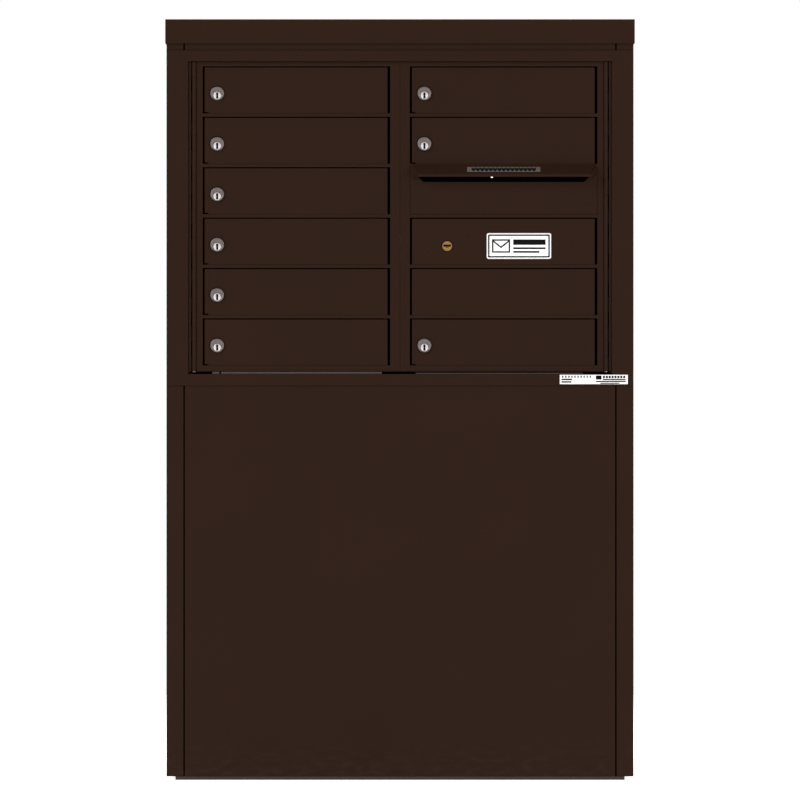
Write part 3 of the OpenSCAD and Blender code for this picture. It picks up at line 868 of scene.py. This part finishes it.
def place_hood_end_shade():
    """Dark strip down the right-hand end of the hood's sloping face: painted shade, where that end turns away
    from the key light.
    """
    top_x, top_z = END_SHADE_TOP
    foot_x, foot_z = END_SHADE_FOOT
    bm = bmesh.new()
    outline = [(top_x, top_z), (foot_x, foot_z), (foot_x - END_SHADE_W, foot_z), (top_x - END_SHADE_W, top_z)]
    slope_slab_into(bm, outline, 0.12, -0.2)
    end_shade = shade(mesh_from(bm, "end_shade"))
    add_piece("hood_end_painted_shade", end_shade, body_of_node["outgoing_hood"], painted_shade_black)


def place_hood_glint():
    """Small white patch under the hood's lip: a painted glint."""
    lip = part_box("outgoing_hood")[0] / MM
    bm = bmesh.new()
    outline = [(GLINT_X + x, lip.z - 0.9 + z) for x, z in rounded_outline(GLINT_W, GLINT_H, GLINT_R)]
    plate_into(bm, outline, lip.y + 0.3, lip.y + 1.6)
    glint = eased(mesh_from(bm, "hood_glint"), 0.2, "hood_glint")
    add_piece("hood_lip_painted_glint", glint, body_of_node["outgoing_hood"], white_enamel)


# ---------- Sticker on the face frame ----------

STICKER_X = (281.8, 401.6)
STICKER_Z = (698.0, 714.4)

# Left, right, foot and top of each printed bar, from the sticker's lower left corner
STICKER_BARS = (
    [(4.0 + 5.4 * k, 6.4 + 5.4 * k, 11.2, 14.9) for k in range(10)]
    + [(3, 21.5, 7.0, 9.6), (3, 20.5, 2.6, 5.2), (63.5, 73.5, 8.0, 15.2)]
    + [(76 + 5.1 * k, 79.6 + 5.1 * k, 10.4, 14.8) for k in range(8)]
    + [(76, 116, 7.0, 9.2), (63.5, 116, 3.6, 5.8), (71.5, 105, 0.6, 2.3)]
)


def place_data_sticker():
    """White label on the frame's bottom rail, printed with plain bars and blocks."""
    face = frame_face_y / MM
    stock = bar(*STICKER_X, *STICKER_Z)
    flat_print("data_sticker", [stock], "root", label_white, face - 0.15, face)
    x, z = STICKER_X[0], STICKER_Z[0]
    bars = [bar(x + left, x + right, z + foot, z + top) for left, right, foot, top in STICKER_BARS]
    flat_print("data_sticker_bars", bars, "root", black_ink, face - 0.2, face - 0.1)


# ---------- Screws and rivets ----------


RECESS_SHARE = 0.62


def screw_row_tree(material):
    """Domed screw heads with a square drive recess along a straight line."""
    tree = bpy.data.node_groups.new("screw_row", "GeometryNodeTree")
    interface = tree.interface
    interface.new_socket("Geometry", in_out="OUTPUT", socket_type="NodeSocketGeometry")
    inputs = (
        ("Count", "NodeSocketInt"), ("Start", "NodeSocketVector"), ("Step", "NodeSocketVector"),
        ("Turn", "NodeSocketVector"), ("Head Radius", "NodeSocketFloat"), ("Head Height", "NodeSocketFloat"),
    )
    for name, kind in inputs:
        interface.new_socket(name, in_out="INPUT", socket_type=kind)
    nodes, links = tree.nodes, tree.links
    given = nodes.new("NodeGroupInput")
    out = nodes.new("NodeGroupOutput")
    line = nodes.new("GeometryNodeMeshLine")
    links.new(given.outputs["Count"], line.inputs["Count"])
    links.new(given.outputs["Start"], line.inputs["Start Location"])
    links.new(given.outputs["Step"], line.inputs["Offset"])
    dome = nodes.new("GeometryNodeMeshUVSphere")
    dome.inputs["Segments"].default_value = 20
    dome.inputs["Rings"].default_value = 10
    links.new(given.outputs["Head Radius"], dome.inputs["Radius"])
    flatten = nodes.new("ShaderNodeMath")
    flatten.operation = "DIVIDE"
    links.new(given.outputs["Head Height"], flatten.inputs[0])
    links.new(given.outputs["Head Radius"], flatten.inputs[1])
    scale = nodes.new("ShaderNodeCombineXYZ")
    scale.inputs["X"].default_value = 1.0
    scale.inputs["Y"].default_value = 1.0
    links.new(flatten.outputs[0], scale.inputs["Z"])
    squash = nodes.new("GeometryNodeTransform")
    links.new(dome.outputs["Mesh"], squash.inputs["Geometry"])
    links.new(scale.outputs[0], squash.inputs["Scale"])
    recess = nodes.new("GeometryNodeMeshCube")
    side = nodes.new("ShaderNodeMath")
    side.operation = "MULTIPLY"
    side.inputs[1].default_value = RECESS_SHARE
    links.new(given.outputs["Head Radius"], side.inputs[0])
    sides = nodes.new("ShaderNodeCombineXYZ")
    for axis in ("X", "Y", "Z"):
        links.new(side.outputs[0], sides.inputs[axis])
    links.new(sides.outputs[0], recess.inputs["Size"])
    lifted = nodes.new("ShaderNodeCombineXYZ")
    links.new(given.outputs["Head Height"], lifted.inputs["Z"])
    raise_recess = nodes.new("GeometryNodeTransform")
    links.new(recess.outputs["Mesh"], raise_recess.inputs["Geometry"])
    links.new(lifted.outputs[0], raise_recess.inputs["Translation"])
    drill = nodes.new("GeometryNodeMeshBoolean")
    drill.operation = "DIFFERENCE"
    drill.solver = "EXACT"
    links.new(squash.outputs["Geometry"], drill.inputs["Mesh 1"])
    links.new(raise_recess.outputs["Geometry"], drill.inputs["Mesh 2"])
    spread = nodes.new("GeometryNodeInstanceOnPoints")
    links.new(line.outputs["Mesh"], spread.inputs["Points"])
    links.new(drill.outputs["Mesh"], spread.inputs["Instance"])
    links.new(given.outputs["Turn"], spread.inputs["Rotation"])
    realize = nodes.new("GeometryNodeRealizeInstances")
    links.new(spread.outputs["Instances"], realize.inputs["Geometry"])
    finish = nodes.new("GeometryNodeSetMaterial")
    finish.inputs["Material"].default_value = material
    links.new(realize.outputs["Geometry"], finish.inputs["Geometry"])
    links.new(finish.outputs["Geometry"], out.inputs["Geometry"])
    return tree


# How a head is turned to stand out of a face that looks that way
OUT_OF = {
    "-Y": Vector((math.pi / 2, 0, 0)), "+Y": Vector((-math.pi / 2, 0, 0)),
    "-X": Vector((0, -math.pi / 2, 0)), "+X": Vector((0, math.pi / 2, 0)),
}

# Radius and height of the heads
REAR_HEAD = (4.2, 1.9)
RIVET_HEAD = (2.2, 0.8)
KEEPER_HEAD = (3.0, 1.2)
PANEL_HEAD = (2.4, 0.5)


def screw_row(tree, name, count, ends, facing, head, body, slot):
    """One row of screws as a plain mesh. The two ends and the head's radius and height are in mm."""
    start, end = (Vector(place) * MM for place in ends)
    radius, height = head
    step = (end - start) / max(count - 1, 1)
    holder = scratch_object(name, bpy.data.meshes.new(name))
    modifier = holder.modifiers.new("screws", "NODES")
    modifier.node_group = tree
    values = {
        "Count": count, "Start": start, "Step": step, "Turn": OUT_OF[facing], "Head Radius": radius * MM,
        "Head Height": height * MM,
    }
    for item in tree.interface.items_tree:
        if item.in_out == "INPUT":
            value = values[item.name]
            modifier[item.identifier] = tuple(value) if isinstance(value, Vector) else value
    mesh = evaluated_mesh(holder)
    add_piece(name, shade(mesh), body, material_of_slot[slot])


REAR_SCREWS = 8
REAR_SCREWS_IN = 28
REAR_SCREWS_LOW = 60
REAR_SCREWS_HIGH = 80

# How far a knuckle of the loading doors' hinges stands out past the face of its leaf
HINGE_PAST_LEAF = 5.8
RIVETS = 11
RIVETS_IN = 4.5
RIVETS_FROM_END = 12
KEEPER_SCREWS_FROM_END = 8

# Painted screws in the lock panel: two rows of two for the lock's case, and one near the mail plate
CASE_SCREWS_X = (48.5, 120.0)
CASE_SCREWS_Z = (929.5, 960.5)
PANEL_SCREW_X = 302.5
PANEL_SCREW_Z = 945.0


def place_fasteners():
    """Screws of the rear panel, the keeper and the lock panel, and rivets of the loading doors' hinges."""
    painted = screw_row_tree(paint)
    plated = screw_row_tree(zinc)
    low, high = (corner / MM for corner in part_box("rear_panel"))
    for side, x in (("left", low.x + REAR_SCREWS_IN), ("right", high.x - REAR_SCREWS_IN)):
        ends = (x, high.y, low.z + REAR_SCREWS_LOW), (x, high.y, high.z - REAR_SCREWS_HIGH)
        screw_row(painted, f"rear_screws_{side}", REAR_SCREWS, ends, "+Y", REAR_HEAD, "root", "powder_coat")
    for side, facing in (("left", "-X"), ("right", "+X")):
        node = f"{side}_hinge_leaf"
        low, high = (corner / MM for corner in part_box(node))
        x = high.x - HINGE_PAST_LEAF if facing == "+X" else low.x + HINGE_PAST_LEAF
        y = high.y - RIVETS_IN
        ends = (x, y, low.z + RIVETS_FROM_END), (x, y, high.z - RIVETS_FROM_END)
        name, body = f"{side}_hinge_rivets", body_of_node[node]
        screw_row(plated, name, RIVETS, ends, facing, RIVET_HEAD, body, "zinc_steel")
    low, high = (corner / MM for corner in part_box("bolt_keeper"))
    ends = (0, low.y, low.z + KEEPER_SCREWS_FROM_END), (0, low.y, high.z - KEEPER_SCREWS_FROM_END)
    screw_row(plated, "keeper_screws", 2, ends, "-Y", KEEPER_HEAD, "root", "zinc_steel")
    body = body_of_node["lock_panel"]
    face = door_face_y / MM
    for place, z in zip(("low", "high"), CASE_SCREWS_Z):
        ends = [(x, face, z) for x in CASE_SCREWS_X]
        screw_row(painted, f"case_screws_{place}", 2, ends, "-Y", PANEL_HEAD, body, "powder_coat")
    place = (PANEL_SCREW_X, face, PANEL_SCREW_Z)
    screw_row(painted, "panel_screw", 1, (place, place), "-Y", PANEL_HEAD, body, "powder_coat")


# ---------- Stage ----------

FLOOR_HALF = 7.0
FLOOR_GLOW = 0.85
# Light from all round, as the surfaces get it; the camera and reflections see plain white
FILL_STRENGTH = 0.32
LIT_POINT = (0, 0, 0.75)

# Name, place, side of the square and power in watts
SOFTBOXES = (
    ("key", (-4.0, -2.8, 3.4), 2.4, 190),
    ("fill", (4.2, -2.8, 2.0), 2.4, 110),
    ("back", (2.4, 4.4, 2.6), 2.4, 130),
    ("back_fill", (-3.4, 3.6, 1.6), 2.0, 70),
)
PICTURE_W = 1.41056
PICTURE_CENTRE_Z = 0.670
CAMERA_AWAY = 25.0


def lay_floor():
    """A plain pale floor, bright enough to read as studio white."""
    z = cad_box[0].z
    mesh = bpy.data.meshes.new("floor")
    corners = [(sx * FLOOR_HALF, sy * FLOOR_HALF, z) for sx, sy in ((-1, -1), (1, -1), (1, 1), (-1, 1))]
    mesh.from_pydata(corners, [], [(0, 1, 2, 3)])
    finish = Finish("studio_floor")
    finish.set(Base_Color=(0.9, 0.9, 0.9, 1.0), Roughness=0.9)
    finish.set(Emission_Color=(1, 1, 1, 1), Emission_Strength=FLOOR_GLOW)
    mesh.materials.append(finish.material)
    floor = bpy.data.objects.new("floor", mesh)
    scene.collection.objects.link(floor)


def softbox(name, place, side, watts):
    """A square area light that faces the middle of the cabinet."""
    data = bpy.data.lights.new(name, "AREA")
    data.shape = "RECTANGLE"
    data.size = side
    data.size_y = side
    data.energy = watts
    lamp = bpy.data.objects.new(name, data)
    lamp.location = place
    lamp.rotation_mode = "QUATERNION"
    lamp.rotation_quaternion = (Vector(LIT_POINT) - Vector(place)).to_track_quat("-Z", "Y")
    scene.collection.objects.link(lamp)


def light_the_studio():
    """White surroundings, also for what the metal reflects, a dimmer fill, and soft boxes all round."""
    world = bpy.data.worlds.new("studio")
    world.use_nodes = True
    nodes, links = world.node_tree.nodes, world.node_tree.links
    out = nodes["World Output"]
    fill = nodes["Background"]
    fill.inputs["Color"].default_value = (1, 1, 1, 1)
    fill.inputs["Strength"].default_value = FILL_STRENGTH
    backdrop = nodes.new("ShaderNodeBackground")
    backdrop.inputs["Color"].default_value = (1, 1, 1, 1)
    path = nodes.new("ShaderNodeLightPath")
    seen = nodes.new("ShaderNodeMath")
    seen.operation = "MAXIMUM"
    links.new(path.outputs["Is Camera Ray"], seen.inputs[0])
    links.new(path.outputs["Is Glossy Ray"], seen.inputs[1])
    mix = nodes.new("ShaderNodeMixShader")
    links.new(seen.outputs[0], mix.inputs["Fac"])
    links.new(fill.outputs[0], mix.inputs[1])
    links.new(backdrop.outputs[0], mix.inputs[2])
    links.new(mix.outputs[0], out.inputs["Surface"])
    scene.world = world
    for name, place, side, watts in SOFTBOXES:
        softbox(name, place, side, watts)


def set_camera():
    """Straight front view from far off, level with the middle of the picture."""
    data = bpy.data.cameras.new("camera")
    data.sensor_width = 36.0
    data.lens = data.sensor_width * CAMERA_AWAY / PICTURE_W
    data.clip_end = 200.0
    camera = bpy.data.objects.new("camera", data)
    camera.location = (0, frame_face_y - CAMERA_AWAY, PICTURE_CENTRE_Z)
    camera.rotation_euler = (math.pi / 2, 0, 0)
    scene.collection.objects.link(camera)
    scene.camera = camera


set_camera()
lay_floor()
light_the_studio()
scene.view_settings.view_transform = "Standard"
fold_sheet_parts()
place_tenant_locks()
place_arrow_plug()
place_mail_plate()
place_outgoing_label()
place_hood_end_shade()
place_hood_glint()
place_data_sticker()
place_fasteners()
place_hinge_pins()
blacken_hinge_rods()
